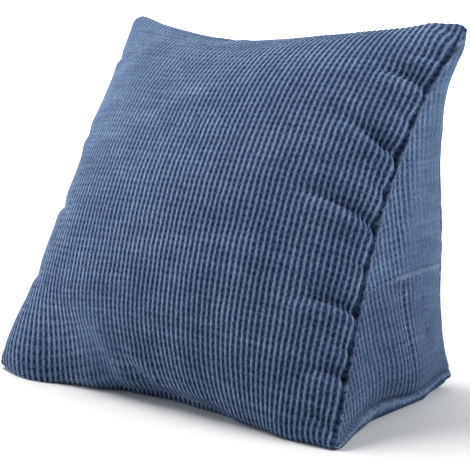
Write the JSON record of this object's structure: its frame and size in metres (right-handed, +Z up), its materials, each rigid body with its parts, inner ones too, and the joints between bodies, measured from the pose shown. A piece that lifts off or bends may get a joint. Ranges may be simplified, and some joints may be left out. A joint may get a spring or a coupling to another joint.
{
  "type": "wedge lumbar pillow with a side pocket",
  "caption": "Wedge-shaped back-support pillow in ribbed corduroy, with a crowned sloping front, drawn-in corners and a flat pocket on its right side.",
  "frame": {"origin": "middle of the footprint's bounding box, on the floor", "axes": "+Z up; +X across the pillow, towards the side with the pocket; the sloping front faces -Y and up, and the back faces +Y"},
  "size_m": [0.455, 0.2586, 0.387],
  "materials": {
    "corduroy": "matte ribbed corduroy",
    "pocket_corduroy": "matte ribbed corduroy"
  },
  "bodies": {
    "root": {"cushion": "corduroy", "side_pocket": "pocket_corduroy"}
  },
  "joints": []
}
